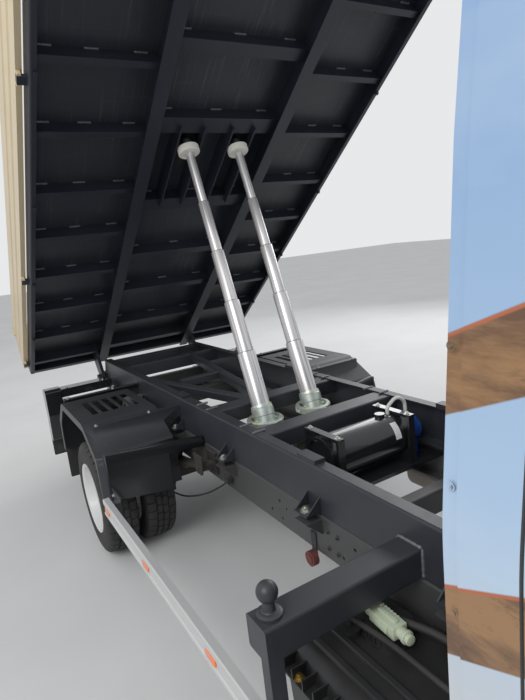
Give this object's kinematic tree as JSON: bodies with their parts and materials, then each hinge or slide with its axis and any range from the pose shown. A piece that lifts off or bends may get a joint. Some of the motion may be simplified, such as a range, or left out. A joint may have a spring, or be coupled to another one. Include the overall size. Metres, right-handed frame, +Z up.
{
  "type": "tipper truck",
  "caption": "Light tipper truck with a bonneted cab, ladder frame, twin rear wheels and a steel bed raised to the rear by two telescopic rams; doors, boards, wheels and steering move.",
  "frame": {"origin": "on the floor under the middle of the whole vehicle at rest, bed raised", "axes": "+X forward, +Y to the vehicle's left, +Z up"},
  "size_m": [6.7754, 2.38, 4.1305],
  "materials": {
    "frame_paint": "dark anthracite paint, satin",
    "zinc": "zinc plated, slightly green",
    "ram_chrome": "polished tube",
    "bed_paint": "dark blue-black paint, satin",
    "board_paint": "cream paint, satin",
    "black_paint": "black paint",
    "blue_paint": "blue gloss paint",
    "black_plastic": "moulded, grained",
    "exhaust_steel": "dull steel",
    "axle_iron": "cast and forged, dusty",
    "guard_aluminium": "anodised profile",
    "lamp_plastic": "lamp lens",
    "lamp_clear": "clear lamp lens",
    "hose_rubber": "dull rubber",
    "white_hose": "white plastic hose",
    "red_rubber": "dull red-brown rubber",
    "cab_paint": "pale blue to cream film over paint",
    "glass": "clear pane",
    "seat_fabric": "woven cover",
    "tyre": "road tread",
    "rim_steel": "white painted steel"
  },
  "bodies": {
    "chassis": {"ball_arms": "frame_paint", "brake_cable": "hose_rubber", "cab_floor": "frame_paint", "cab_glass": "glass", "cab_lower_trim": "black_plastic", "cab_shell": "cab_paint", "cable_guide": "red_rubber", "chassis_rails": "frame_paint", "dashboard": "black_plastic", "driveline": "axle_iron", "engine_block": "axle_iron", "exhaust": "exhaust_steel", "front_axle": "axle_iron", "front_bumper": "black_plastic", "fuel_tank": "black_plastic", "gimbal_rings": "zinc", "headlamps": "lamp_clear", "mud_flaps": "hose_rubber", "oil_hose": "white_hose", "oil_tank": "black_paint", "power_pack": "blue_paint", "rear_axle": "axle_iron", "rear_bar": "black_paint", "rear_fenders": "black_plastic", "rear_lamps": "lamp_plastic", "rear_springs": "axle_iron", "seats": "seat_fabric", "side_guards": "guard_aluminium", "subframe": "frame_paint", "tank_pipes": "hose_rubber"},
    "bed": {"bed_floor": "bed_paint", "headboard": "board_paint", "bed_frame": "bed_paint", "bed_posts": "board_paint"},
    "drop_side_left": {"drop_side_left": "board_paint"},
    "drop_side_right": {"drop_side_right": "board_paint"},
    "tailgate": {"tailgate": "board_paint"},
    "ram_barrels": {"ram_barrels": "zinc"},
    "ram_stage_5": {"ram_stage_5": "ram_chrome"},
    "ram_stage_4": {"ram_stage_4": "ram_chrome"},
    "ram_stage_3": {"ram_stage_3": "ram_chrome"},
    "ram_stage_2": {"ram_stage_2": "ram_chrome"},
    "ram_stage_1": {"ram_stage_1": "ram_chrome"},
    "door_left": {"door_left": "cab_paint", "door_glass_left": "glass"},
    "door_right": {"door_right": "cab_paint", "door_glass_right": "glass"},
    "bonnet": {"bonnet": "cab_paint"},
    "knuckle_left": {"knuckle_left": "axle_iron"},
    "knuckle_right": {"knuckle_right": "axle_iron"},
    "wheel_front_left": {"tyre_front_left": "tyre", "rim_front_left": "rim_steel"},
    "wheel_front_right": {"tyre_front_right": "tyre", "rim_front_right": "rim_steel"},
    "wheels_rear_left": {"tyres_rear_left": "tyre", "rims_rear_left": "rim_steel"},
    "wheels_rear_right": {"tyres_rear_right": "tyre", "rims_rear_right": "rim_steel"}
  },
  "joints": [
    {"name": "bed_tilt", "type": "hinge", "parent": "chassis", "child": "bed", "pos_m": [-2.87228, 0, 0.75], "axis": [0, 1, 0], "range_deg": [0, 36.88]},
    {"name": "ram_swing", "type": "hinge", "parent": "chassis", "child": "ram_barrels", "pos_m": [-0.57228, 0, 0.815], "axis": [0, 1, 0], "range_deg": [0, 24.2]},
    {"name": "ram_slide_5", "type": "slide", "parent": "ram_barrels", "child": "ram_stage_5", "axis": [0.3355, 0, -0.9421], "range_m": [0, 0.2945]},
    {"name": "ram_slide_4", "type": "slide", "parent": "ram_stage_5", "child": "ram_stage_4", "axis": [0.3355, 0, -0.9421], "range_m": [0, 0.2945]},
    {"name": "ram_slide_3", "type": "slide", "parent": "ram_stage_4", "child": "ram_stage_3", "axis": [0.3355, 0, -0.9421], "range_m": [0, 0.2945]},
    {"name": "ram_slide_2", "type": "slide", "parent": "ram_stage_3", "child": "ram_stage_2", "axis": [0.3355, 0, -0.9421], "range_m": [0, 0.2945]},
    {"name": "ram_slide_1", "type": "slide", "parent": "ram_stage_2", "child": "ram_stage_1", "axis": [0.3355, 0, -0.9421], "range_m": [0, 0.2945]},
    {"name": "drop_side_left", "type": "hinge", "parent": "bed", "child": "drop_side_left", "pos_m": [-3.03827, 1.04, 0.944], "axis": [0.7999, 0, 0.6001], "range_deg": [-170, 0]},
    {"name": "drop_side_right", "type": "hinge", "parent": "bed", "child": "drop_side_right", "pos_m": [-3.03827, -1.04, 0.944], "axis": [0.7999, 0, 0.6001], "range_deg": [0, 170]},
    {"name": "tailgate", "type": "hinge", "parent": "bed", "child": "tailgate", "pos_m": [-3.36332, 0, 1.24395], "axis": [0, 1, 0], "range_deg": [0, 100]},
    {"name": "door_left", "type": "hinge", "parent": "chassis", "child": "door_left", "pos_m": [2.27372, 0.9685, 1], "axis": [0, 0, 1], "range_deg": [-68, 0]},
    {"name": "door_right", "type": "hinge", "parent": "chassis", "child": "door_right", "pos_m": [2.27372, -0.9685, 1], "axis": [0, 0, 1], "range_deg": [0, 68]},
    {"name": "bonnet", "type": "hinge", "parent": "chassis", "child": "bonnet", "pos_m": [2.70272, 0, 1.44], "axis": [0, 1, 0], "range_deg": [-50, 0]},
    {"name": "steering_left", "type": "hinge", "parent": "chassis", "child": "knuckle_left", "pos_m": [2.42772, 0.705, 0.345], "axis": [0, 0, 1], "range_deg": [-33, 33]},
    {"name": "steering_right", "type": "hinge", "parent": "chassis", "child": "knuckle_right", "pos_m": [2.42772, -0.705, 0.345], "axis": [0, 0, 1], "range_deg": [-33.5, 33.5]},
    {"name": "wheel_front_left", "type": "hinge", "parent": "knuckle_left", "child": "wheel_front_left", "pos_m": [2.42772, 0.82, 0.345], "axis": [0, 1, 0], "continuous": true},
    {"name": "wheel_front_right", "type": "hinge", "parent": "knuckle_right", "child": "wheel_front_right", "pos_m": [2.42772, -0.82, 0.345], "axis": [0, 1, 0], "continuous": true},
    {"name": "wheels_rear_left", "type": "hinge", "parent": "chassis", "child": "wheels_rear_left", "pos_m": [-1.37228, 0.77, 0.345], "axis": [0, 1, 0], "continuous": true},
    {"name": "wheels_rear_right", "type": "hinge", "parent": "chassis", "child": "wheels_rear_right", "pos_m": [-1.37228, -0.77, 0.345], "axis": [0, 1, 0], "continuous": true}
  ],
  "couplings": [
    {"joint": "ram_swing", "follows": "bed_tilt", "ratio": 0.65076},
    {"joint": "ram_slide_5", "follows": "bed_tilt", "m_per_rad": 0.45675},
    {"joint": "ram_slide_4", "follows": "bed_tilt", "m_per_rad": 0.45675},
    {"joint": "ram_slide_3", "follows": "bed_tilt", "m_per_rad": 0.45675},
    {"joint": "ram_slide_2", "follows": "bed_tilt", "m_per_rad": 0.45675},
    {"joint": "ram_slide_1", "follows": "bed_tilt", "m_per_rad": 0.45675},
    {"joint": "steering_right", "follows": "steering_left", "ratio": 1}
  ]
}
